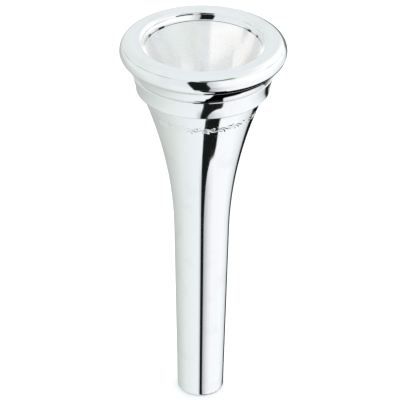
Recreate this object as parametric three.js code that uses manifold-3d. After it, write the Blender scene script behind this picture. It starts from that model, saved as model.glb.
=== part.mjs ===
// French horn mouthpiece with a screw-on rim, turned from brass and silver plated.
// Units are millimetres. The origin is the centre of the shank's small end, and +Z runs up the bore.
//
// Three turned pieces share the Z axis:
//   cup_and_shank  cup, collar, bell-shaped taper and shank in one turning, threaded spigot on top
//   seat_ring      narrow flared ring that slides over the spigot and rests on the collar
//   rim            cushion rim with a female thread, screwed down over the spigot onto the seat ring

import * as THREE from 'three';
import { mergeVertices } from 'three/addons/utils/BufferGeometryUtils.js';
import Module from 'manifold-3d';

const SEGMENTS = 48;                 // facets around every turned surface

// Overall
const LENGTH = 63.3;
const RIM_RADIUS = 12.6;

// Shank and bell-shaped taper: a straight cone that turns into a parabola above FLARE_START_Z
const TIP_RADIUS = 3.7;
const TIP_EDGE_ROUND = 0.3;
const SHANK_TAPER = 0.0202;          // growth in radius per millimetre of length, about 1 in 25 on diameter
const FLARE_START_Z = 30.2;
const FLARE_BEND = 0.0149;           // growth of the slope per millimetre above FLARE_START_Z

// Collar: a flared band that overhangs the top of the taper and ends in a flat ledge. A flare's slopes, at
// its low and high end, are its growth in radius per millimetre of height. Its ease is 1 when the slope grows
// evenly, and more when most of the growth comes early.
const COLLAR_EDGE_Z = 55.4;
const COLLAR_EDGE_RADIUS = 10.17;
const COLLAR_EDGE_ROUND = 0.1;
const COLLAR_TOP_Z = 58.28;
const COLLAR_SLOPES = [0.06, 0.32];
const COLLAR_EASE = 2;

// Seat ring, flared like the collar
const LEDGE = 0.28;                  // width of the collar's ledge outside the seat ring's foot
const SEAT_RING_TOP_Z = 60.1;
const SEAT_RING_SLOPES = [0.315, 0.495];

// Rim
const RIM_WIDEST_Z = 61.5;
const RIM_CROWN_RADIUS = 10.6;
const RIM_TOP_FULLNESS = 0.6;        // Bezier handle share of the quarter curves: 0.552 would be an ellipse
const RIM_UNDERSIDE_FULLNESS = 0.45;
const BITE_Z = 62.69;                // where the cushion turns down into the cup
const BITE_SLOPES = [0.21, 0.65];
const CUP_MOUTH_RADIUS = 8.92;
const CUP_MOUTH_Z = 61.9;

// Bore
const CUP_WALL_RADIUS = 8.86;        // cup wall at the top of the spigot
const CUP_CURVE = 1.25;              // 1 would be a straight funnel
const THROAT_RADIUS = 2.3;
const THROAT_TOP_Z = 30;
const THROAT_BOTTOM_Z = 26;
const BACKBORE_END_RADIUS = 2.95;

// Thread between rim and spigot
const PITCH = 0.5;
const THREAD_MAJOR_RADIUS = 9.55;
const THREAD_DEPTH = 0.3;
const THREAD_CREST_SHARP = 0.06;     // height of the V above its truncated crest
const THREAD_ROOT_SHARE = 0.16;      // flat root, as a share of the pitch
const THREAD_CLEARANCE = 0.07;       // radial gap between the two threads
const THREAD_START_Z = 59.85;
const LEAD_IN = 0.15;                // chamfers where the two threads meet first

// Assembly gaps
const SEAT_GAP = 0.02;               // between faces that are screwed together
const SPIGOT_GAP = 0.05;             // between the top of the spigot and the rim's inner shoulder
const RING_CLEARANCE = 0.07;         // radial, seat ring over spigot

const SPIGOT_TOP_Z = CUP_MOUTH_Z - SPIGOT_GAP;
const PAST = 1;                      // how far cutting tools run past the metal
const ELLIPSE = 0.552;               // Bezier handle share that draws a quarter ellipse

const silverPlate = () => new THREE.MeshStandardMaterial({ color: 0xe4e6e6, roughness: 0.08, metalness: 1 });

const wasm = await Module();
wasm.setup();

// ---- geometry helpers ----

// Points of a quarter round from (r0, z0) to (r1, z1). It leaves the first point along Z and arrives along R.
function quarterRound(r0, z0, r1, z1, steps, fullness = ELLIPSE) {
  const curve = new THREE.CubicBezierCurve(
    new THREE.Vector2(r0, z0),
    new THREE.Vector2(r0, z0 + (z1 - z0) * fullness),
    new THREE.Vector2(r1 + (r0 - r1) * fullness, z1),
    new THREE.Vector2(r1, z1),
  );
  return curve.getPoints(steps).map((p) => [p.x, p.y]);
}

// Points along z from z0 to z1 at the radius that radiusAt gives.
function curvePoints(z0, z1, steps, radiusAt) {
  const points = [];
  for (let i = 0; i <= steps; i++) {
    const z = z0 + (z1 - z0) * i / steps;
    points.push([radiusAt(z), z]);
  }
  return points;
}

// Drops points that repeat the one before them.
function withoutRepeats(points) {
  const distance = (p, q) => Math.hypot(p[0] - q[0], p[1] - q[1]);
  return points.filter((p, i) => i === 0 || distance(p, points[i - 1]) > 1e-4);
}

function toManifold(geometry) {
  const bare = geometry.clone();
  bare.deleteAttribute('normal');
  bare.deleteAttribute('uv');
  const merged = mergeVertices(bare, 1e-4);
  const vertProperties = Float32Array.from(merged.attributes.position.array);
  const triVerts = Uint32Array.from(merged.index.array);
  return new wasm.Manifold(new wasm.Mesh({ numProp: 3, vertProperties, triVerts }));
}

function toGeometry(solid) {
  const mesh = solid.getMesh();
  const geometry = new THREE.BufferGeometry();
  geometry.setAttribute('position', new THREE.BufferAttribute(Float32Array.from(mesh.vertProperties), 3));
  geometry.setIndex(new THREE.BufferAttribute(Uint32Array.from(mesh.triVerts), 1));
  geometry.computeVertexNormals();
  return geometry;
}

// Solid of revolution about Z. The outline is a list of [radius, z] that closes on itself, counterclockwise
// when radius points right and z points up.
function turned(outline) {
  const points = withoutRepeats(outline).map(([r, z]) => new THREE.Vector2(r, z));
  points.push(points[0].clone());
  const geometry = new THREE.LatheGeometry(points, SEGMENTS);
  geometry.rotateX(Math.PI / 2);
  return toManifold(geometry);
}

// Solid rod from the axis out to radius, between two heights.
function rod(radius, z0, z1) {
  return turned([[0, z0], [radius, z0], [radius, z1], [0, z1]]);
}

// Rod with a right-handed helical ridge. It rises by one pitch per turn, so each column of vertices is a
// copy of the first one, lifted in proportion to its angle, and the last column meets the first one a pitch
// higher. Both ends are cones from the axis to the helix, and are cut off afterwards. Every rod starts at the
// same height, so the male and female threads are in mesh.
function threadedRod(rootRadius, crestRadius) {
  const turns = Math.ceil((CUP_MOUTH_Z - THREAD_START_Z) / PITCH) + 2;
  const start = THREAD_START_Z - 1.5 * PITCH;
  const ridge = [
    [rootRadius, 0],
    [rootRadius, THREAD_ROOT_SHARE],
    [crestRadius, (1 + THREAD_ROOT_SHARE) / 2],
  ];
  const perColumn = ridge.length * turns + 1;
  const pointAt = (row, angle) => {
    const [r, share] = ridge[row % ridge.length];
    const lift = Math.floor(row / ridge.length) + share + angle / (2 * Math.PI);
    return [r * Math.cos(angle), r * Math.sin(angle), start + lift * PITCH];
  };

  // A vertex number for any row of any column: the column at a full turn is column 0, one pitch up.
  const positions = [];
  for (let column = 0; column < SEGMENTS; column++) {
    for (let row = 0; row < perColumn; row++) {
      positions.push(...pointAt(row, column / SEGMENTS * 2 * Math.PI));
    }
  }
  const topRows = positions.length / 3;
  for (let row = perColumn; row < perColumn + ridge.length; row++) {
    positions.push(...pointAt(row, 0));
  }
  const vertex = (column, row) => {
    if (column < SEGMENTS) return column * perColumn + row;
    const raised = row + ridge.length;
    return raised < perColumn ? raised : topRows + raised - perColumn;
  };
  const bottomCentre = positions.length / 3;
  positions.push(0, 0, start);
  const topCentre = bottomCentre + 1;
  positions.push(0, 0, start + (turns + 1) * PITCH);

  const faces = [];
  const last = perColumn - 1;
  const step = last - ridge.length;    // first row of the step that the helix makes at its upper end
  for (let column = 0; column < SEGMENTS; column++) {
    for (let row = 0; row < last; row++) {
      const [a, b] = [vertex(column, row), vertex(column + 1, row)];
      const [c, d] = [vertex(column + 1, row + 1), vertex(column, row + 1)];
      faces.push(a, b, c, a, c, d);
    }
    faces.push(bottomCentre, vertex(column + 1, 0), vertex(column, 0));
    faces.push(topCentre, vertex(column, last), vertex(column + 1, last));
  }
  for (let row = 0; row < ridge.length; row++) {
    faces.push(bottomCentre, vertex(0, row), vertex(0, row + 1));
    faces.push(topCentre, vertex(SEGMENTS, step + row + 1), vertex(SEGMENTS, step + row));
  }

  const geometry = new THREE.BufferGeometry();
  geometry.setAttribute('position', new THREE.Float32BufferAttribute(positions, 3));
  geometry.setIndex(faces);
  return toManifold(geometry);
}

// ---- outside and bore ----

function taperRadius(z) {
  const aboveFlare = Math.max(0, z - FLARE_START_Z);
  return TIP_RADIUS + SHANK_TAPER * z + FLARE_BEND * aboveFlare ** 2 / 2;
}

function cupRadius(z) {
  const share = (z - THROAT_TOP_Z) / (SPIGOT_TOP_Z - THROAT_TOP_Z);
  return THROAT_RADIUS + (CUP_WALL_RADIUS - THROAT_RADIUS) * share ** CUP_CURVE;
}

// Radius of a flare by height, from the radius at its foot.
function flare(footRadius, lowZ, highZ, [lowSlope, highSlope], ease = 1) {
  return (z) => {
    const share = (z - lowZ) / (highZ - lowZ);
    const steepening = share - (1 - (1 - share) ** (ease + 1)) / (ease + 1);
    return footRadius + (highZ - lowZ) * (lowSlope * share + (highSlope - lowSlope) * steepening);
  };
}

const collarRadius = flare(COLLAR_EDGE_RADIUS, COLLAR_EDGE_Z, COLLAR_TOP_Z, COLLAR_SLOPES, COLLAR_EASE);
const seatRingRadius = flare(
  collarRadius(COLLAR_TOP_Z) - LEDGE, COLLAR_TOP_Z, SEAT_RING_TOP_Z, SEAT_RING_SLOPES);
const biteRadius = flare(CUP_MOUTH_RADIUS, CUP_MOUTH_Z, BITE_Z, BITE_SLOPES);

// ---- pieces ----

function cupAndShank() {
  const undersideZ = COLLAR_EDGE_Z - COLLAR_EDGE_ROUND;
  const outside = [
    [0, 0],
    [TIP_RADIUS - TIP_EDGE_ROUND, 0],
    ...quarterRound(TIP_RADIUS, TIP_EDGE_ROUND, TIP_RADIUS - TIP_EDGE_ROUND, 0, 3).reverse(),
    [taperRadius(FLARE_START_Z / 2), FLARE_START_Z / 2],
    ...curvePoints(FLARE_START_Z, undersideZ, 14, taperRadius),
    ...quarterRound(
      COLLAR_EDGE_RADIUS, COLLAR_EDGE_Z, COLLAR_EDGE_RADIUS - COLLAR_EDGE_ROUND, undersideZ, 2).reverse(),
    ...curvePoints(COLLAR_EDGE_Z, COLLAR_TOP_Z, 8, collarRadius),
    [THREAD_MAJOR_RADIUS, COLLAR_TOP_Z],
    [THREAD_MAJOR_RADIUS, SPIGOT_TOP_Z - LEAD_IN],
    [THREAD_MAJOR_RADIUS - LEAD_IN, SPIGOT_TOP_Z],
    [0, SPIGOT_TOP_Z],
  ];
  const backboreSlope = (BACKBORE_END_RADIUS - THROAT_RADIUS) / THROAT_BOTTOM_Z;
  const cupSlope = cupRadius(SPIGOT_TOP_Z) - cupRadius(SPIGOT_TOP_Z - 1);
  const bore = [
    [0, -PAST],
    [BACKBORE_END_RADIUS + backboreSlope * PAST, -PAST],
    [THROAT_RADIUS, THROAT_BOTTOM_Z],
    ...curvePoints(THROAT_TOP_Z, SPIGOT_TOP_Z, 12, cupRadius),
    [CUP_WALL_RADIUS + cupSlope * PAST, SPIGOT_TOP_Z + PAST],
    [0, SPIGOT_TOP_Z + PAST],
  ];
  const ridge = threadedRod(THREAD_MAJOR_RADIUS - THREAD_DEPTH, THREAD_MAJOR_RADIUS + THREAD_CREST_SHARP);
  const sleeve = rod(THREAD_MAJOR_RADIUS + PAST, THREAD_START_Z, SPIGOT_TOP_Z + PAST / 2);
  const grooves = sleeve.subtract(ridge);
  return turned(outside).subtract(grooves).subtract(turned(bore));
}

function seatRing() {
  const bottom = COLLAR_TOP_Z + SEAT_GAP;
  const top = SEAT_RING_TOP_Z - SEAT_GAP;
  const inner = THREAD_MAJOR_RADIUS + RING_CLEARANCE;
  return turned([[inner, bottom], ...curvePoints(bottom, top, 8, seatRingRadius), [inner, top]]);
}

function rim() {
  const underside = quarterRound(
    RIM_RADIUS, RIM_WIDEST_Z, seatRingRadius(SEAT_RING_TOP_Z), SEAT_RING_TOP_Z, 7, RIM_UNDERSIDE_FULLNESS);
  const cushion = [
    [CUP_MOUTH_RADIUS, SEAT_RING_TOP_Z],
    ...underside.reverse(),
    ...quarterRound(RIM_RADIUS, RIM_WIDEST_Z, RIM_CROWN_RADIUS, LENGTH, 8, RIM_TOP_FULLNESS),
    ...quarterRound(biteRadius(BITE_Z), BITE_Z, RIM_CROWN_RADIUS, LENGTH, 4).reverse(),
    ...curvePoints(CUP_MOUTH_Z, BITE_Z, 3, biteRadius).reverse(),
  ];
  const rootRadius = THREAD_MAJOR_RADIUS - THREAD_DEPTH + THREAD_CLEARANCE;
  const crestRadius = THREAD_MAJOR_RADIUS + THREAD_CREST_SHARP + THREAD_CLEARANCE;
  const tap = threadedRod(rootRadius, crestRadius);
  const boreRadius = THREAD_MAJOR_RADIUS + THREAD_CLEARANCE;
  const tapEnvelope = rod(boreRadius, SEAT_RING_TOP_Z - PAST, CUP_MOUTH_Z);
  const chamfer = turned([
    [0, SEAT_RING_TOP_Z - PAST],
    [boreRadius + LEAD_IN + PAST, SEAT_RING_TOP_Z - PAST],
    [boreRadius, SEAT_RING_TOP_Z + LEAD_IN],
    [0, SEAT_RING_TOP_Z + LEAD_IN],
  ]);
  return turned(cushion).subtract(tap.intersect(tapEnvelope)).subtract(chamfer);
}

// ---- assembly ----

function piece(name, solid) {
  const mesh = new THREE.Mesh(toGeometry(solid), silverPlate());
  mesh.name = name;
  return mesh;
}

const mouthpiece = new THREE.Group();
mouthpiece.add(piece('cup_and_shank', cupAndShank()));
mouthpiece.add(piece('seat_ring', seatRing()));
mouthpiece.add(piece('rim', rim()));

export default mouthpiece;
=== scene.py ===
"""A French horn mouthpiece with a screw rim, in polished silver plate, standing in a white studio.

Every piece is a body of revolution about Z, made as one closed mesh. Outlines are in millimetres, and
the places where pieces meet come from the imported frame.
"""
import math

import bmesh
import bpy
import numpy as np
from mathutils import Matrix, Vector


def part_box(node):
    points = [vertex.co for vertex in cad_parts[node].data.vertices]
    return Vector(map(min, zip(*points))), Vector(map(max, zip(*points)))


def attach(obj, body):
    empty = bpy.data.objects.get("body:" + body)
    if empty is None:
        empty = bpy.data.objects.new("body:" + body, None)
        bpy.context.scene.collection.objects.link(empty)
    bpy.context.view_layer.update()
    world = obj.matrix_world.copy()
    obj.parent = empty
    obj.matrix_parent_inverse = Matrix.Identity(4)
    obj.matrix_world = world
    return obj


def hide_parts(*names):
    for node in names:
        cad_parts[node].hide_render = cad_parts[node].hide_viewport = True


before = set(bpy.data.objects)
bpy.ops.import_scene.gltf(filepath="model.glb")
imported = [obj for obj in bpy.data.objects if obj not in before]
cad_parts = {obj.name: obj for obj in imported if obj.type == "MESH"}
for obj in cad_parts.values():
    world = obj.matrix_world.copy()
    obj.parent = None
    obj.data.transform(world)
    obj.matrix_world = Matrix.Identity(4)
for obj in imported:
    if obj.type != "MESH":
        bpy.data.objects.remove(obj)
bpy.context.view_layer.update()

MM = 0.001
TURN = 2 * math.pi

# ---- sizes from the frame, in millimetres ----

body_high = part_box("cup_and_shank")[1] / MM
ring_low, ring_high = (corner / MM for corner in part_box("seat_ring"))
rim_low, rim_high = (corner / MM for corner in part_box("rim"))

LENGTH = rim_high.z
RIM_RADIUS = rim_high.x
RIM_FOOT_Z = rim_low.z
SPIGOT_TOP_Z = body_high.z

# ---- the part's own sizes, in millimetres ----

# Shank and bell-shaped taper: a straight cone that turns into a parabola above FLARE_START_Z
TIP_RADIUS = 3.7
TIP_EDGE_ROUND = 0.3
SHANK_TAPER = 0.0202
FLARE_START_Z = 30.2
FLARE_BEND = 0.0149

# Collar: a flared band that overhangs the top of the taper and ends in a flat ledge. A flare's slopes, at
# its low and high end, are its growth in radius per millimetre of height. Its ease is 1 when the slope grows
# evenly, and more when most of the growth comes early.
COLLAR_EDGE_Z = 55.4
COLLAR_EDGE_ROUND = 0.1
COLLAR_TOP_Z = 58.28
COLLAR_SLOPES = (0.06, 0.32)
COLLAR_EASE = 2

# Seat ring
RING_SLOPES = (0.315, 0.495)

# Rim. Fullness is how far a quarter round swells towards its corner, and ELLIPSE makes it an ellipse.
RIM_FOOT_RADIUS = 11.3
RIM_WIDEST_Z = 61.5
RIM_CROWN_RADIUS = 10.6
RIM_TOP_FULLNESS = 0.6
RIM_UNDERSIDE_FULLNESS = 0.45
ELLIPSE = 0.552
BITE_RADIUS = 9.26
BITE_Z = 62.69
BITE_SLOPES = (0.21, 0.65)
CUP_MOUTH_Z = 61.9

# Bore
CUP_WALL_RADIUS = 8.86
CUP_CURVE = 1.25
THROAT_RADIUS = 2.3
THROAT_TOP_Z = 30
THROAT_BOTTOM_Z = 26
BACKBORE_END_RADIUS = 2.95

# Thread: flat roots and V ridges, whose crests are cut off where they would rise above the major radius.
# Shares are parts of one pitch.
PITCH = 0.5
THREAD_MAJOR_RADIUS = 9.55
THREAD_DEPTH = 0.3
THREAD_CREST_CUT = 0.06
THREAD_CLEARANCE = 0.07
THREAD_START_Z = 59.85
THREAD_PHASE_Z = THREAD_START_Z - 1.5 * PITCH
THREAD_RUN_OUT = 0.3
LEAD_IN = 0.15
ROOT_SHARE = 0.16
HALF_RIDGE_SHARE = (1 - ROOT_SHARE) / 2
FLANK_STEPS = 3

# Engraved running vine round the front of the taper: a wavy stem that fades out at both ends. Angles run
# counterclockwise from +X, so the front is at -90 degrees.
VINE_Z = 52.3
VINE_CENTRE = math.radians(-74)
VINE_HALF_SPAN = math.radians(76)
VINE_LOW_Z = 51.4
VINE_HIGH_Z = 53.2
VINE_DEPTH = 0.05
VINE_WAVE = 2.5
VINE_SWING = 0.25
VINE_FADE_ALONG = 0.8
VINE_FADE_UP = 0.1
STEM_HALF_WIDTH = 0.15

# Each half wave of the stem is a bay, with a curl and a leaf, placed from the bay's middle. The curl is part
# of a circle, and is open below the angle TENDRIL_END, in radians.
TENDRIL_CENTRE = (-0.13, 0.25)
TENDRIL_RADIUS = 0.23
TENDRIL_END = -2.2
TENDRIL_HALF_WIDTH = 0.12
LEAF_FOOT = (0.1, -0.07)
LEAF_TIP = (0.5, 0.66)
LEAF_END_HALF_WIDTH = 0.06
LEAF_SWELL = 0.16
OUT_OF_REACH = 9.0

# Mesh
COLUMNS = 192
FINE_COLUMNS = 960
VINE_ROWS = 43
SAME_POINT = 0.004
SHARP_ANGLE = math.radians(32)


# ---- outlines ----

class Row:
    """One row of vertices round the axis. The radius is a number or a function of height and angle, the
    finish is the material above the row, and the lift is how far a helical row climbs in one turn. Its
    heights are kept between the limits."""

    def __init__(self, radius, z, finish, columns=COLUMNS, lift=0, limits=None):
        self.radius = radius
        self.z = z
        self.finish = finish
        self.columns = columns
        self.lift = lift
        self.limits = limits

    def points(self):
        angle = np.arange(self.columns) * TURN / self.columns
        z = self.z + self.lift * angle / TURN
        if self.limits:
            z = np.clip(z, *self.limits)
        radius = self.radius(z, angle) if callable(self.radius) else np.full_like(z, self.radius)
        return np.stack([radius * np.cos(angle), radius * np.sin(angle), z], axis=1)


def rows_through(points, finish):
    return [Row(radius, z, finish) for radius, z in points]


def quarter_round(start, end, steps, fullness=ELLIPSE):
    """Points of a Bezier quarter that leaves start along Z and arrives at end along the radius."""
    (r0, z0), (r1, z1) = start, end
    leaving = (r0, z0 + (z1 - z0) * fullness)
    arriving = (r1 + (r0 - r1) * fullness, z1)
    handles = np.array([(r0, z0), leaving, arriving, (r1, z1)])
    points = []
    for t in np.linspace(0, 1, steps + 1):
        weights = [(1 - t) ** 3, 3 * t * (1 - t) ** 2, 3 * t * t * (1 - t), t ** 3]
        points.append(tuple(np.dot(weights, handles)))
    return points


def curve(low_z, high_z, radius_at, steps):
    return [(radius_at(z), z) for z in np.linspace(low_z, high_z, steps + 1)]


def taper_radius(z):
    above = np.maximum(0, z - FLARE_START_Z)
    return TIP_RADIUS + SHANK_TAPER * z + FLARE_BEND * above ** 2 / 2


def cup_radius(z):
    share = (z - THROAT_TOP_Z) / (SPIGOT_TOP_Z - THROAT_TOP_Z)
    return THROAT_RADIUS + (CUP_WALL_RADIUS - THROAT_RADIUS) * share ** CUP_CURVE


def backbore_radius(z):
    return BACKBORE_END_RADIUS + (THROAT_RADIUS - BACKBORE_END_RADIUS) * z / THROAT_BOTTOM_Z


def flare(low_z, high_z, head_radius, slopes, ease=1):
    """Radius of a flare by height. It reaches head_radius at high_z."""
    low_slope, high_slope = slopes
    height = high_z - low_z

    def growth(share):
        steepening = share - (1 - (1 - share) ** (ease + 1)) / (ease + 1)
        return height * (low_slope * share + (high_slope - low_slope) * steepening)

    return lambda z: head_radius - growth(1) + growth((z - low_z) / height)


def smooth_step(low, high, x):
    share = np.clip((x - low) / (high - low), 0, 1)
    return share * share * (3 - 2 * share)


def thread_radius(z, angle, clearance):
    """Radius of the screw surface, which climbs one pitch per turn."""
    share = ((z - THREAD_PHASE_Z) / PITCH - angle / TURN) % 1
    ridge = np.clip(1 - np.abs(share - ROOT_SHARE - HALF_RIDGE_SHARE) / HALF_RIDGE_SHARE, 0, 1)
    sharp = THREAD_MAJOR_RADIUS - THREAD_DEPTH + (THREAD_DEPTH + THREAD_CREST_CUT) * ridge
    return np.minimum(sharp, THREAD_MAJOR_RADIUS) + clearance


def spigot_radius(z, angle):
    cut = smooth_step(THREAD_START_Z, THREAD_START_Z + THREAD_RUN_OUT, z)
    threaded = THREAD_MAJOR_RADIUS + (thread_radius(z, angle, 0) - THREAD_MAJOR_RADIUS) * cut
    chamfer = THREAD_MAJOR_RADIUS - LEAD_IN - (z - SPIGOT_TOP_Z)
    return np.minimum(threaded, chamfer)


def rim_bore_radius(z, angle):
    major = THREAD_MAJOR_RADIUS + THREAD_CLEARANCE
    cut = 1 - smooth_step(CUP_MOUTH_Z - THREAD_RUN_OUT, CUP_MOUTH_Z, z)
    threaded = major + (thread_radius(z, angle, THREAD_CLEARANCE) - major) * cut
    chamfer = major + LEAD_IN - (z - RIM_FOOT_Z)
    return np.maximum(threaded, chamfer)


def thread_rows(low_z, high_z, radius_at, finish):
    """Helical rows that follow the thread, closed by a plain row at each end, and their number per pitch."""
    crest = ROOT_SHARE + HALF_RIDGE_SHARE
    half_crest = HALF_RIDGE_SHARE * THREAD_CREST_CUT / (THREAD_DEPTH + THREAD_CREST_CUT)
    flank = HALF_RIDGE_SHARE - half_crest
    rising = [ROOT_SHARE + flank * step / FLANK_STEPS for step in range(FLANK_STEPS)]
    falling = [crest + half_crest + flank * step / FLANK_STEPS for step in range(FLANK_STEPS)]
    shares = [0, ROOT_SHARE / 2] + rising + [crest - half_crest, crest] + falling
    first = math.floor((low_z - THREAD_PHASE_Z) / PITCH) - 1
    last = math.ceil((high_z - THREAD_PHASE_Z) / PITCH)
    limits = (low_z, high_z)
    helical = [
        Row(radius_at, THREAD_PHASE_Z + (turn + share) * PITCH, finish, lift=PITCH, limits=limits)
        for turn in range(first, last + 1)
        for share in shares
    ]
    bottom = Row(radius_at, low_z, finish)
    top = Row(radius_at, high_z, finish)
    return [bottom] + helical + [top], len(shares)


# ---- engraving ----

def stroke(distance, half_width):
    """Depth share of a V-shaped graver cut, from the distance to its centre line."""
    return np.clip(1 - distance / half_width, 0, 1)


def to_segment(s, h, start, end):
    """Distance from each point to a straight line, and how far along the line its nearest point lies."""
    (s0, h0), (s1, h1) = start, end
    length_squared = (s1 - s0) ** 2 + (h1 - h0) ** 2
    along = np.clip(((s - s0) * (s1 - s0) + (h - h0) * (h1 - h0)) / length_squared, 0, 1)
    return np.hypot(s - s0 - along * (s1 - s0), h - h0 - along * (h1 - h0)), along


def vine_depth(z, angle):
    """Depth in millimetres of a running vine: a wavy stem, with a curled tendril and a leaf in each bay."""
    turned = (angle - VINE_CENTRE + math.pi) % TURN - math.pi
    s = turned * taper_radius(VINE_Z)
    h = z - VINE_Z
    end = VINE_HALF_SPAN * taper_radius(VINE_Z)
    phase = TURN * s / VINE_WAVE
    lean = np.arctan(VINE_SWING * TURN / VINE_WAVE * np.cos(phase))
    stem = np.abs(h - VINE_SWING * np.sin(phase)) * np.cos(lean)
    cut = stroke(stem, STEM_HALF_WIDTH)

    bay = np.floor(2 * s / VINE_WAVE)
    local = s - (bay + 0.5) * VINE_WAVE / 2
    rise = h * np.where(bay % 2 == 0, -1.0, 1.0)
    curl_s = local - TENDRIL_CENTRE[0]
    curl_h = rise - TENDRIL_CENTRE[1]
    off_circle = np.abs(np.hypot(curl_s, curl_h) - TENDRIL_RADIUS)
    tendril = np.where(np.arctan2(curl_h, curl_s) > TENDRIL_END, off_circle, OUT_OF_REACH)
    cut = np.maximum(cut, stroke(tendril, TENDRIL_HALF_WIDTH))
    leaf, along = to_segment(local, rise, LEAF_FOOT, LEAF_TIP)
    leaf_half_width = LEAF_END_HALF_WIDTH + LEAF_SWELL * np.sin(math.pi * along)
    cut = np.maximum(cut, stroke(leaf, leaf_half_width))

    fade = 1 - smooth_step(end - VINE_FADE_ALONG, end, np.abs(s))
    fade *= smooth_step(VINE_LOW_Z, VINE_LOW_Z + VINE_FADE_UP, z)
    fade *= 1 - smooth_step(VINE_HIGH_Z - VINE_FADE_UP, VINE_HIGH_Z, z)
    return VINE_DEPTH * cut * fade


def engraved_radius(z, angle):
    return taper_radius(z) - vine_depth(z, angle)


# ---- meshes ----

def vertex_numbers(rows, rows_per_pitch):
    """For each row, the numbers of its vertices with the one that closes the row. A helical row closes on
    the row one pitch further along its stretch."""
    firsts = np.cumsum([0] + [row.columns for row in rows])
    helical = [i for i, row in enumerate(rows) if row.lift]
    numbers = []
    for i, row in enumerate(rows):
        closing = i
        if row.lift:
            step = rows_per_pitch if rows[helical[-1]].z > rows[helical[0]].z else -rows_per_pitch
            closing = min(max(i + step, helical[0] - 1), helical[-1] + 1)
        numbers.append(list(range(firsts[i], firsts[i] + row.columns)) + [int(firsts[closing])])
    return numbers


def strip(a, b):
    """Faces between two rows of vertex numbers. Where one row is finer, small fans join them."""
    coarse, fine = min(len(a), len(b)) - 1, max(len(a), len(b)) - 1
    if coarse == fine:
        return [(a[j], a[j + 1], b[j + 1], b[j]) for j in range(coarse)]
    ratio = fine // coarse
    middle = ratio // 2
    faces = []
    for j in range(coarse):
        for k in range(ratio):
            m = j * ratio + k
            near = j if k < middle else j + 1
            if len(a) < len(b):
                faces.append((a[near], b[m + 1], b[m]))
            else:
                faces.append((a[m], a[m + 1], b[near]))
        m = j * ratio + middle
        if len(a) < len(b):
            faces.append((a[j], a[j + 1], b[m]))
        else:
            faces.append((a[m], b[j + 1], b[j]))
    return faces


def turned_piece(name, rows, materials, node, rows_per_pitch=0):
    """A closed mesh from the rows of its outline, which run counterclockwise with the radius to the right.
    It stands for the CAD node, and rides on the body of the same name."""
    vertices = np.concatenate([row.points() for row in rows]) * MM
    numbers = vertex_numbers(rows, rows_per_pitch)
    faces = []
    finishes = []
    for i, row in enumerate(rows):
        made = strip(numbers[i], numbers[(i + 1) % len(rows)])
        faces += made
        finishes += [row.finish] * len(made)

    mesh = bpy.data.meshes.new(name)
    mesh.from_pydata(vertices.tolist(), [], faces)
    for material in materials:
        mesh.materials.append(material)
    mesh.polygons.foreach_set("material_index", finishes)
    cleaned = bmesh.new()
    cleaned.from_mesh(mesh)
    bmesh.ops.remove_doubles(cleaned, verts=cleaned.verts, dist=SAME_POINT * MM)
    cleaned.to_mesh(mesh)
    cleaned.free()
    mesh.shade_smooth()
    mesh.set_sharp_from_angle(angle=SHARP_ANGLE)

    piece = bpy.data.objects.new(name, mesh)
    bpy.context.scene.collection.objects.link(piece)
    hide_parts(node)
    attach(piece, node)


# ---- shader helpers ----

class Tree:
    """Small helper that adds and joins shader nodes."""

    def __init__(self, tree):
        self.nodes = tree.nodes
        self.links = tree.links

    def put(self, socket, value):
        if isinstance(value, bpy.types.NodeSocket):
            self.links.new(value, socket)
        elif value is not None:
            socket.default_value = value

    def add(self, kind, inputs=None, output=0, **settings):
        node = self.nodes.new("ShaderNode" + kind)
        for key, value in settings.items():
            setattr(node, key, value)
        for key, value in (inputs or {}).items():
            self.put(node.inputs[key], value)
        return node.outputs[output]

    def math(self, operation, a, b=None, c=None):
        return self.add("Math", {0: a, 1: b, 2: c}, operation=operation)

    def product(self, first, *others):
        for other in others:
            first = self.math("MULTIPLY", first, other)
        return first

    def split(self, vector):
        node = self.nodes.new("ShaderNodeSeparateXYZ")
        self.put(node.inputs[0], vector)
        return node.outputs

    def noise(self, place, scale, detail):
        return self.add("TexNoise", {"Vector": place, "Scale": scale, "Detail": detail})

    def stripes(self, along, scale, detail):
        """Noise that varies in one direction only."""
        return self.add("TexNoise", {"W": along, "Scale": scale, "Detail": detail}, noise_dimensions="1D")

    def range(self, value, low, high, to_low=0.0, to_high=1.0, smooth=True):
        kind = "SMOOTHSTEP" if smooth else "LINEAR"
        inputs = {"Value": value, "From Min": low, "From Max": high, "To Min": to_low, "To Max": to_high}
        return self.add("MapRange", inputs, interpolation_type=kind)

    def mix(self, share, a, b):
        node = self.nodes.new("ShaderNodeMix")
        node.data_type = "RGBA"
        self.put(node.inputs["Factor"], share)
        self.put(node.inputs["A"], a)
        self.put(node.inputs["B"], b)
        return node.outputs["Result"]


def rgb(r, g, b):
    return (r, g, b, 1.0)


def window(tree, across, up, sides, heights, soft_side, soft_end):
    """Mask that is 1 where across lies between the two sides and up between the two heights. It fades over
    that much on both sides of each edge."""
    left, right = sides
    low, high = heights
    from_left = tree.math("SUBTRACT", across, left)
    from_right = tree.math("SUBTRACT", right, across)
    from_low = tree.math("SUBTRACT", up, low)
    from_high = tree.math("SUBTRACT", high, up)
    return tree.product(
        tree.range(from_left, -soft_side, soft_side), tree.range(from_right, -soft_side, soft_side),
        tree.range(from_low, -soft_end, soft_end), tree.range(from_high, -soft_end, soft_end))


def by_stops(tree, angle, stops):
    """A value that runs straight from stop to stop, each given as (angle, value)."""
    total = stops[0][1]
    for (a0, v0), (a1, v1) in zip(stops, stops[1:]):
        step = tree.range(angle, float(a0), float(a1), 0.0, float(v1 - v0), smooth=False)
        total = tree.math("ADD", step, total)
    return total


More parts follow.
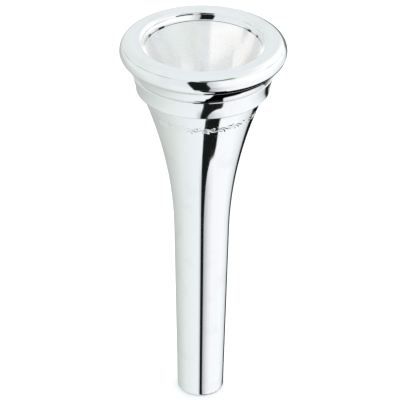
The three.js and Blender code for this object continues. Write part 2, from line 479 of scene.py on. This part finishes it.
def by_reflections(tree, times, before, after):
    """One value for light mirrored fewer times than this on its way to the camera, another from there on."""
    mirrored = tree.add("LightPath", output="Glossy Depth")
    switch = times - 0.5
    return tree.range(mirrored, switch - 0.1, switch + 0.1, before, after, smooth=False)


def azimuth_of(tree, x, y):
    """Degrees round the axis: 0 at the front, growing to the right."""
    return tree.math("DEGREES", tree.math("ARCTAN2", x, tree.math("MULTIPLY", y, -1.0)))


def elevation_of(tree, z):
    """Degrees above the horizon of a direction of length 1."""
    return tree.math("DEGREES", tree.math("ARCSINE", z))


# ---- the dark table ----

# Outlines of the dark table top in front of the part and to its right, seen from the part, in degrees. The
# left and near right edges are stops of (elevation, azimuth), and the far edge of (azimuth, elevation).
TABLE_LEFT_EDGE = [
    (-83, 75), (-77.5, 42), (-75, 28), (-73.2, 21), (-71.7, 10),
    (-67, 3), (-60, -1.3), (-54, -3), (-45, -4.5),
]
TABLE_NEAR_RIGHT_EDGE = [
    (-59.3, 42), (-58.6, 29), (-57, 24), (-55.5, 20), (-52, 15),
    (-48.5, 12), (-45, 10), (-40, 8.4), (-36, 8.2),
]
TABLE_FAR_EDGE = [
    (42, -59), (48, -61), (55, -67), (62, -67.8), (75, -66), (90, -62.7), (105, -59.3),
    (120, -53.8), (130, -49.5), (138, -46), (144, -43), (147, -37), (158, -35), (166, -32),
]
TABLE_NEAR_HEIGHTS = (-63.0, -32.0)
TABLE_RIGHT_END = 178.0
NO_LOWER_EDGE = -100.0
TABLE_SOFT_SIDE = 1.2
TABLE_SOFT_NEAR_END = 1.0
TABLE_SOFT_FAR_END = 0.8


def dark_table(tree, azimuth, elevation):
    """Mask of the dark table: a tongue in front of the part, and a wide area to its right."""
    left_edge = by_stops(tree, elevation, TABLE_LEFT_EDGE)
    near_right_edge = by_stops(tree, elevation, TABLE_NEAR_RIGHT_EDGE)
    near = window(tree, azimuth, elevation, (left_edge, near_right_edge), TABLE_NEAR_HEIGHTS,
                  TABLE_SOFT_SIDE, TABLE_SOFT_NEAR_END)
    far_edge = by_stops(tree, azimuth, TABLE_FAR_EDGE)
    wide = window(tree, azimuth, elevation, (left_edge, TABLE_RIGHT_END), (NO_LOWER_EDGE, far_edge),
                  TABLE_SOFT_SIDE, TABLE_SOFT_FAR_END)
    return tree.math("MAXIMUM", near, wide)


# ---- silver ----

# Surface detail. Heights and distances are in millimetres, and noise scales in cells per metre. The polish
# lines are laid out along z plus LINE_SLANT times the radius, so that flat faces have them too.
LINE_SCALE = 4200.0
LINE_SLANT = 2.3
LINE_HEIGHT = 0.0006
LINE_ROUGHNESS = 0.05
WAVE_SCALE = 130.0
WAVE_HEIGHT = 0.0045
SMUDGE_SCALE = 260.0
SPECK_SCALE = 2600.0
SPECK_ROUGHNESS = 0.02
MARK_RANGE = (0.52, 0.72)
MARK_STAIN = 0.12
MARK_ROUGHNESS = 0.035

# Painted shade in a crease, drawn as tarnish that only the camera sees, is full near its height, and gone at
# its reach. The smudges make it patchy.
CREASE_FULL = 0.01
CREASE_REACH = 0.07
CREASE_PATCHES = (0.42, 0.58)
CREASE_THINNEST = 0.2

# Dark spots inside the rim, which only the camera sees, as sides in degrees from the front and heights in
# millimetres. The dashes at the cup's mouth are painted reflections of a dark card in its edge.
DARK_MARK_COLOUR = rgb(0.02, 0.022, 0.02)
INNER_RADIUS = 9.6
INNER_EDGE = 0.1
SPOT_SOFT_SIDE = 1.0
SPOT_SOFT_END = 0.02
BITE_LINE = ((-170, -153), (BITE_Z + 0.02, BITE_Z + 0.18))
MOUTH_DASH_SIDES = [(-138, -130), (-117, -112), (113, 116), (126, 131)]
MOUTH_DASH_HEIGHTS = (SPIGOT_TOP_Z - 0.08, CUP_MOUTH_Z + 0.16)
MOUTH_DASHES = [(sides, MOUTH_DASH_HEIGHTS) for sides in MOUTH_DASH_SIDES]

# Bands of height with a painted reflection of the dark table: the camera sees them dark wherever they mirror
# the table, whatever light the pieces beside them add. Each comes with the degrees by which the table's far
# edge is raised for it on the right, growing over the azimuths of RAISED_BETWEEN.
NO_SIDES = (-200, 200)
UNDER_RIM = ((RIM_FOOT_Z - 0.01, RIM_FOOT_Z + 1.0), 7.0)
RING_SIDE = ((ring_low.z + 0.01, ring_high.z + 0.02), 0.0)
RAISED_BETWEEN = (105.0, 125.0)

# Painted light deep in the cup, a glow of the silver that stands for everything past the third reflection
# and grows with height
DEEP_REFLECTIONS = 3
DEEP_COLOUR = rgb(0.97, 1.0, 1.0)
DEEP_LIGHT_FULL_Z = 54
DEEP_LIGHT_LOW = 0.3

QUARTER_TURN = 0.25


class Surface:
    """Where a shaded point lies: its place, z and radius in metres, its height in millimetres, how many
    degrees round from the front, and seen, which is 1 when the camera sees it directly."""

    def __init__(self, tree):
        self.place = tree.add("TexCoord", output="Object")
        x, y, self.z = tree.split(self.place)
        self.radius = tree.math("SQRT", tree.math("ADD", tree.product(x, x), tree.product(y, y)))
        self.height = tree.math("DIVIDE", self.z, MM)
        self.around = azimuth_of(tree, x, y)
        self.seen = tree.add("LightPath", output="Is Camera Ray")


def stain_and_crease_shade(tree, at, smudges, marks, creases):
    """Share of darkening: faint tarnish in the handling marks, and strong painted shade in the creases at
    the given heights, drawn as tarnish that only the camera sees."""
    stain_and_shade = tree.product(marks, MARK_STAIN)
    for crease_z in creases:
        away = tree.math("ABSOLUTE", tree.math("SUBTRACT", at.z, crease_z * MM))
        near = tree.range(away, CREASE_FULL * MM, CREASE_REACH * MM, 1.0, 0.0)
        patches = tree.range(smudges, *CREASE_PATCHES, CREASE_THINNEST, 1.0)
        stain_and_shade = tree.math("MAXIMUM", stain_and_shade, tree.product(near, patches, at.seen))
    return stain_and_shade


def add_dark_marks(tree, at, colour, spots):
    """The colour with dark spots inside the rim, which only the camera sees."""
    inner_edge = INNER_RADIUS + INNER_EDGE
    inside = tree.product(at.seen, tree.range(at.radius, INNER_RADIUS * MM, inner_edge * MM, 1.0, 0.0))
    for sides, heights in spots:
        spot = window(tree, at.around, at.height, sides, heights, SPOT_SOFT_SIDE, SPOT_SOFT_END)
        colour = tree.mix(tree.product(spot, inside), colour, DARK_MARK_COLOUR)
    return colour


def darken_corners(tree, at, colour, corners):
    """The colour with a painted reflection of the dark table: turned dark in each band where the camera sees
    it mirror the table.
    """
    mirror_x, mirror_y, mirror_z = tree.split(tree.add("TexCoord", output="Reflection"))
    azimuth = azimuth_of(tree, mirror_x, mirror_y)
    elevation = elevation_of(tree, mirror_z)
    for heights, lift in corners:
        raised = tree.product(tree.range(azimuth, *RAISED_BETWEEN), lift)
        table = dark_table(tree, azimuth, tree.math("SUBTRACT", elevation, raised))
        band = window(tree, at.around, at.height, NO_SIDES, heights, SPOT_SOFT_SIDE, SPOT_SOFT_END)
        colour = tree.mix(tree.product(band, at.seen, table), colour, DARK_MARK_COLOUR)
    return colour


def silver(name, bright, stain_and_shade_colour, roughness, polish_lines, creases=(), corners=(), dark_marks=(), brushed=0.0,
           milky=0.0, deep_light=0.0):
    """Silver plate with polish lines round the axis, a slightly wavy hand finish and faint handling marks.
    Polish lines is how strong those lines are, brushed is how far they stretch a highlight, milky is the
    share of light that is scattered, and deep light is the strength of what stands for all light past the
    third reflection."""
    material = bpy.data.materials.new(name)
    material.use_nodes = True
    tree = Tree(material.node_tree)
    at = Surface(tree)

    lines = tree.stripes(tree.math("MULTIPLY_ADD", at.radius, LINE_SLANT, at.z), LINE_SCALE, 3.0)
    waves = tree.noise(at.place, WAVE_SCALE, 1.0)
    smudges = tree.noise(at.place, SMUDGE_SCALE, 4.0)
    specks = tree.noise(at.place, SPECK_SCALE, 2.0)
    marks = tree.range(smudges, *MARK_RANGE)

    # Faint tarnish in the handling marks, and painted shade in the creases
    colour = tree.mix(stain_and_crease_shade(tree, at, smudges, marks, creases), bright, stain_and_shade_colour)
    # Dark spots inside the rim; the dashes at the cup's mouth are painted reflections of a dark card
    colour = add_dark_marks(tree, at, colour, dark_marks)
    # Painted reflection of the dark table in the corners between pieces
    if corners:
        colour = darken_corners(tree, at, colour, corners)

    rough = tree.math("MULTIPLY_ADD", marks, MARK_ROUGHNESS, roughness)
    rough = tree.math("MULTIPLY_ADD", specks, SPECK_ROUGHNESS, rough)
    rough = tree.math("MULTIPLY_ADD", lines, polish_lines * LINE_ROUGHNESS, rough)

    wavy = tree.add("Bump", {"Height": waves, "Distance": WAVE_HEIGHT * MM, "Strength": 1.0})
    line_height = LINE_HEIGHT * MM * polish_lines
    lined = tree.add("Bump", {"Height": lines, "Distance": line_height, "Strength": 1.0, "Normal": wavy})

    shader = tree.nodes["Principled BSDF"]
    # Painted light: past the third reflection the cup turns black and glows instead
    if deep_light:
        deep = by_reflections(tree, DEEP_REFLECTIONS, 0.0, 1.0)
        colour = tree.mix(deep, colour, rgb(0, 0, 0))
        low_light = DEEP_LIGHT_LOW * deep_light
        glow = tree.range(at.height, THROAT_TOP_Z, DEEP_LIGHT_FULL_Z, low_light, deep_light)
        tree.put(shader.inputs["Emission Color"], DEEP_COLOUR)
        tree.put(shader.inputs["Emission Strength"], tree.product(deep, glow))
    tree.put(shader.inputs["Metallic"], 1.0 - milky)
    tree.put(shader.inputs["Anisotropic"], brushed)
    tree.put(shader.inputs["Anisotropic Rotation"], QUARTER_TURN)
    tree.put(shader.inputs["Tangent"], tree.add("Tangent", direction_type="RADIAL", axis="Z"))
    tree.put(shader.inputs["Base Color"], colour)
    tree.put(shader.inputs["Roughness"], rough)
    tree.put(shader.inputs["Normal"], lined)
    return material


POLISHED, CUP, BORE, THREAD = range(4)
materials = [
    silver("polished_silver", rgb(0.955, 0.96, 0.955), rgb(0.62, 0.62, 0.59), 0.035, 0.6,
           creases=(COLLAR_EDGE_Z, RIM_FOOT_Z, BITE_Z),
           corners=(UNDER_RIM, RING_SIDE), dark_marks=[BITE_LINE] + MOUTH_DASHES),
    silver("burnished_cup", rgb(0.99, 0.985, 0.98), rgb(0.92, 0.90, 0.88), 0.08, 0.6,
           dark_marks=MOUTH_DASHES, brushed=0.8, milky=0.05, deep_light=0.74),
    silver("bore_silver", rgb(0.80, 0.78, 0.74), rgb(0.55, 0.50, 0.43), 0.22, 3.0),
    silver("thread_silver", rgb(0.86, 0.84, 0.78), rgb(0.62, 0.55, 0.42), 0.16, 2.0),
]


# ---- pieces ----

def cup_and_shank():
    """Outside from the tip up to the thread, then back down through the cup, the throat and the backbore."""
    collar = flare(COLLAR_EDGE_Z, COLLAR_TOP_Z, body_high.x, COLLAR_SLOPES, COLLAR_EASE)
    edge_radius = collar(COLLAR_EDGE_Z)
    underside_z = COLLAR_EDGE_Z - COLLAR_EDGE_ROUND
    thread, rows_per_pitch = thread_rows(THREAD_START_Z, SPIGOT_TOP_Z, spigot_radius, THREAD)

    rows = rows_through([(BACKBORE_END_RADIUS, 0)], POLISHED)
    tip = quarter_round((TIP_RADIUS, TIP_EDGE_ROUND), (TIP_RADIUS - TIP_EDGE_ROUND, 0), steps=6)[::-1]
    rows += rows_through(tip, POLISHED)
    rows += rows_through(curve(TIP_EDGE_ROUND, FLARE_START_Z, taper_radius, steps=16)[1:], POLISHED)
    rows += rows_through(curve(FLARE_START_Z, VINE_LOW_Z, taper_radius, steps=34)[1:], POLISHED)
    for z in np.linspace(VINE_LOW_Z, VINE_HIGH_Z, VINE_ROWS):
        rows.append(Row(engraved_radius, z, POLISHED, FINE_COLUMNS))
    rows += rows_through(curve(VINE_HIGH_Z, underside_z, taper_radius, steps=6), POLISHED)
    edge = quarter_round(
        (edge_radius, COLLAR_EDGE_Z), (edge_radius - COLLAR_EDGE_ROUND, underside_z), steps=4)[::-1]
    rows += rows_through(edge, POLISHED)
    rows += rows_through(curve(COLLAR_EDGE_Z, COLLAR_TOP_Z, collar, steps=16)[1:], POLISHED)
    rows += rows_through([(THREAD_MAJOR_RADIUS, COLLAR_TOP_Z)], THREAD)
    rows += thread
    rows += rows_through(curve(THROAT_TOP_Z, SPIGOT_TOP_Z, cup_radius, steps=40)[::-1], CUP)
    rows += rows_through([(THROAT_RADIUS, THROAT_TOP_Z), (THROAT_RADIUS, THROAT_BOTTOM_Z)], BORE)
    rows += rows_through(curve(0, THROAT_BOTTOM_Z, backbore_radius, steps=12)[::-1][1:-1], BORE)
    turned_piece("silver_cup_and_shank", rows, materials, "cup_and_shank", rows_per_pitch)


def seat_ring():
    inner = THREAD_MAJOR_RADIUS + THREAD_CLEARANCE
    side = flare(ring_low.z, ring_high.z, ring_high.x, RING_SLOPES)
    rows = rows_through([(inner, ring_low.z)], POLISHED)
    rows += rows_through(curve(ring_low.z, ring_high.z, side, steps=12), POLISHED)
    rows += rows_through([(inner, ring_high.z)], THREAD)
    turned_piece("silver_seat_ring", rows, materials, "seat_ring")


def rim():
    """Underside from the foot out to the widest place, over the crown, then down the bite and the thread."""
    thread, rows_per_pitch = thread_rows(RIM_FOOT_Z, CUP_MOUTH_Z, rim_bore_radius, THREAD)
    foot = (RIM_FOOT_RADIUS, RIM_FOOT_Z)
    widest = (RIM_RADIUS, RIM_WIDEST_Z)
    crown = (RIM_CROWN_RADIUS, LENGTH)
    underside = quarter_round(widest, foot, steps=24, fullness=RIM_UNDERSIDE_FULLNESS)[::-1]
    rows = rows_through(underside, POLISHED)
    rows += rows_through(quarter_round(widest, crown, steps=28, fullness=RIM_TOP_FULLNESS)[1:], POLISHED)
    rows += rows_through(quarter_round((BITE_RADIUS, BITE_Z), crown, steps=16)[::-1][1:], POLISHED)
    bite = flare(CUP_MOUTH_Z, BITE_Z, BITE_RADIUS, BITE_SLOPES)
    rows += rows_through(curve(CUP_MOUTH_Z, BITE_Z, bite, steps=8)[::-1][1:-1], POLISHED)
    rows += rows_through([(bite(CUP_MOUTH_Z), CUP_MOUTH_Z)], THREAD)
    rows += thread[::-1]
    turned_piece("silver_rim", rows, materials, "rim", rows_per_pitch)


cup_and_shank()
seat_ring()
rim()


# ---- studio ----

WHITE = rgb(1.0, 1.0, 1.0)
BLACK = rgb(0.008, 0.011, 0.010)

FLOOR_HALF_SIDE = 3.0
PAPER_GRAIN_SCALE = 900.0

# The tent's walls by azimuth, as stops of (degrees, colour). 0 is the camera's side, and it grows to the
# right. Colours are linear, and 1 is plain white.
LEFT_WALLS = [
    (-180, (0.50, 0.51, 0.50)), (-150, (0.53, 0.56, 0.54)), (-105, (0.68, 0.72, 0.70)),
    (-75, (0.80, 0.84, 0.83)), (-40, (0.86, 0.90, 0.93)), (-14, (0.88, 0.92, 0.95)),
]
BESIDE_THE_GAP = [
    (-8, (0.66, 0.70, 0.72)), (7, (0.42, 0.44, 0.47)),
    (18, (0.64, 0.64, 0.68)), (28, (0.82, 0.82, 0.86)),
]
RIGHT_WALLS = [
    (45, (0.97, 0.97, 1.0)), (100, (0.98, 1.00, 1.04)),
    (135, (0.80, 0.84, 0.86)), (180, (0.62, 0.63, 0.62)),
]
UPPER_WALLS = [
    (-180, (0.83, 0.87, 0.89)), (-140, (0.78, 0.82, 0.80)), (-110, (0.80, 0.85, 0.85)),
    (-60, (0.83, 0.88, 0.90)), (-10, (0.80, 0.84, 0.87)), (8, (0.60, 0.62, 0.65)),
    (25, (0.96, 0.98, 1.0)), (60, (1.04, 1.04, 1.04)), (148, (1.04, 1.06, 1.06)),
    (161, (0.81, 0.85, 0.87)), (180, (0.82, 0.86, 0.88)),
]
CEILING = rgb(0.84, 0.88, 0.90)

# Elevations, in degrees, over which one height of the tent turns into the next
FLOOR_TO_WALLS = (-62.0, -50.0)
WALLS_TO_UPPER = (-14.0, 2.0)
UPPER_TO_CEILING = (40.0, 62.0)

# Gap where the camera looks in, with edges as stops of (elevation, azimuth). Seen by light that is mirrored
# twice or more, its upper half is closed.
GAP_LEFT_EDGE = [(-30, -12), (-10, -14.5), (0, -16), (15, -18.5), (30, -21.5), (40, -24), (55, -21)]
GAP_RIGHT_EDGE = [(-24, 9), (-10, 10), (0, 9), (14, 7), (33, 5.5), (48, 7), (56, 15)]
GAP_BOTTOM = -32.0
GAP_TOP = 54.0
GAP_TOP_WHEN_CLOSED = 8.0
GAP_CLOSES_AT = 2
GAP_SOFT_SIDE = 1.2
GAP_SOFT_END = 2.0

# Dark seam high in the tent, on the camera's side and to its right
SEAM_COLOUR = rgb(0.04, 0.045, 0.05)
SEAM_SIDES = (-6.0, 66.0)
SEAM_HEIGHTS = (56.0, 65.0)
SEAM_SOFT_SIDE = 4.0
SEAM_SOFT_END = 1.5
SEAM_STRENGTH = 0.9

# Dark flag low behind the part, on the right, with its strength as stops of (azimuth, share), and the dim
# pole that stands above it
FLAG_SHARES = [(122, 0), (137, 0.1), (142, 0.3), (147, 1.0), (158, 1.0), (162, 0)]
FLAG_TOP = -28.0
FLAG_FULL_BELOW = -33.0
POLE_SIDES = (147.0, 173.0)
POLE_HEIGHTS = (-26.0, 3.0)
POLE_SOFT_SIDE = 4.0
POLE_SOFT_END = 3.0
POLE_STRENGTH = 0.75

# Strength of the tent for scattered light, which brings the floor up to white
SCATTERED_LIGHT = 1.8


def white_floor():
    material = bpy.data.materials.new("white_paper")
    material.use_nodes = True
    tree = Tree(material.node_tree)
    grain = tree.noise(tree.add("TexCoord", output="Object"), PAPER_GRAIN_SCALE, 3.0)
    shader = tree.nodes["Principled BSDF"]
    tree.put(shader.inputs["Base Color"], tree.mix(grain, rgb(0.93, 0.93, 0.93), rgb(0.95, 0.95, 0.95)))
    tree.put(shader.inputs["Roughness"], 0.9)
    tree.put(shader.inputs["Specular IOR Level"], 0.1)
    side = FLOOR_HALF_SIDE
    corners = [(-side, -side, 0), (side, -side, 0), (side, side, 0), (-side, side, 0)]
    mesh = bpy.data.meshes.new("floor")
    mesh.from_pydata(corners, [], [(0, 1, 2, 3)])
    mesh.materials.append(material)
    floor = bpy.data.objects.new("floor", mesh)
    bpy.context.scene.collection.objects.link(floor)
    floor.visible_glossy = False


def round_the_room(tree, azimuth, stops):
    """Colour that runs round the horizon, from stops of (degrees, colour) between -180 and 180."""
    node = tree.nodes.new("ShaderNodeValToRGB")
    elements = node.color_ramp.elements
    elements[0].color = rgb(*stops[0][1])
    elements[1].color = rgb(*stops[-1][1])
    for degrees, colour in stops[1:-1]:
        elements.new((degrees + 180) / 360).color = rgb(*colour)
    tree.put(node.inputs[0], tree.range(azimuth, -180, 180, smooth=False))
    return node.outputs[0]


def tent(tree, azimuth, elevation):
    """The white tent's own light, cooler and dimmer on the left, and grey beside the gap."""
    low = round_the_room(tree, azimuth, LEFT_WALLS + RIGHT_WALLS)
    walls = round_the_room(tree, azimuth, LEFT_WALLS + BESIDE_THE_GAP + RIGHT_WALLS)
    upper = round_the_room(tree, azimuth, UPPER_WALLS)
    light = tree.mix(tree.range(elevation, *FLOOR_TO_WALLS), low, walls)
    light = tree.mix(tree.range(elevation, *WALLS_TO_UPPER), light, upper)
    return tree.mix(tree.range(elevation, *UPPER_TO_CEILING), light, CEILING)


def camera_gap(tree, azimuth, elevation):
    """Mask of the gap where the camera looks in."""
    sides = (by_stops(tree, elevation, GAP_LEFT_EDGE), by_stops(tree, elevation, GAP_RIGHT_EDGE))
    top = by_reflections(tree, GAP_CLOSES_AT, GAP_TOP, GAP_TOP_WHEN_CLOSED)
    return window(tree, azimuth, elevation, sides, (GAP_BOTTOM, top), GAP_SOFT_SIDE, GAP_SOFT_END)


def studio_light():
    """A white tent all round, with the dark things that the silver mirrors: the gap where the camera looks
    in, a seam above it, the table, and a flag and a pole behind on the right. The camera itself sees plain
    white."""
    world = bpy.data.worlds.new("studio")
    bpy.context.scene.world = world
    world.use_nodes = True
    tree = Tree(world.node_tree)
    x, y, z = tree.split(tree.add("TexCoord", output="Generated"))
    azimuth = azimuth_of(tree, x, y)
    elevation = elevation_of(tree, z)

    seam = window(tree, azimuth, elevation, SEAM_SIDES, SEAM_HEIGHTS, SEAM_SOFT_SIDE, SEAM_SOFT_END)
    flag = tree.product(
        by_stops(tree, azimuth, FLAG_SHARES), tree.range(elevation, FLAG_TOP, FLAG_FULL_BELOW))
    pole = window(tree, azimuth, elevation, POLE_SIDES, POLE_HEIGHTS, POLE_SOFT_SIDE, POLE_SOFT_END)
    dark_things = [
        (camera_gap(tree, azimuth, elevation), BLACK),
        (tree.product(seam, SEAM_STRENGTH), SEAM_COLOUR),
        (dark_table(tree, azimuth, elevation), BLACK),
        (flag, BLACK),
        (tree.product(pole, POLE_STRENGTH), BLACK),
    ]
    light = tent(tree, azimuth, elevation)
    for mask, colour in dark_things:
        light = tree.mix(mask, light, colour)

    light = tree.mix(tree.add("LightPath", output="Is Camera Ray"), light, WHITE)
    scattered = tree.add("LightPath", output="Is Diffuse Ray")
    background = tree.nodes["Background"]
    tree.put(background.inputs["Color"], light)
    tree.put(background.inputs["Strength"], tree.range(scattered, 0, 1, 1.0, SCATTERED_LIGHT))


# A long lens, 0.36 m from the part. It looks down by about 32 degrees, which is about 28 at the rim, and is
# turned a little so the part leans. Places are in metres, and the lens and its sensor in millimetres.
CAMERA_EYE = Vector((0, -0.3029, 0.222))
CAMERA_AIM = Vector((-0.00031, 0, 0.0351))
CAMERA_ROLL = math.radians(0.484)
LENS = 205.7
SENSOR_WIDTH = 36
NEAREST = 0.01
FARTHEST = 20


def camera():
    back = (CAMERA_EYE - CAMERA_AIM).normalized()
    right = Vector((0, 0, 1)).cross(back).normalized()
    up = back.cross(right)
    turned = Matrix((right, up, back)).transposed() @ Matrix.Rotation(CAMERA_ROLL, 3, "Z")
    data = bpy.data.cameras.new("camera")
    data.sensor_width = SENSOR_WIDTH
    data.lens = LENS
    data.clip_start = NEAREST
    data.clip_end = FARTHEST
    cam = bpy.data.objects.new("camera", data)
    cam.matrix_world = Matrix.Translation(CAMERA_EYE) @ turned.to_4x4()
    bpy.context.scene.collection.objects.link(cam)
    bpy.context.scene.camera = cam


white_floor()
studio_light()
camera()
bpy.context.scene.view_settings.view_transform = "Standard"
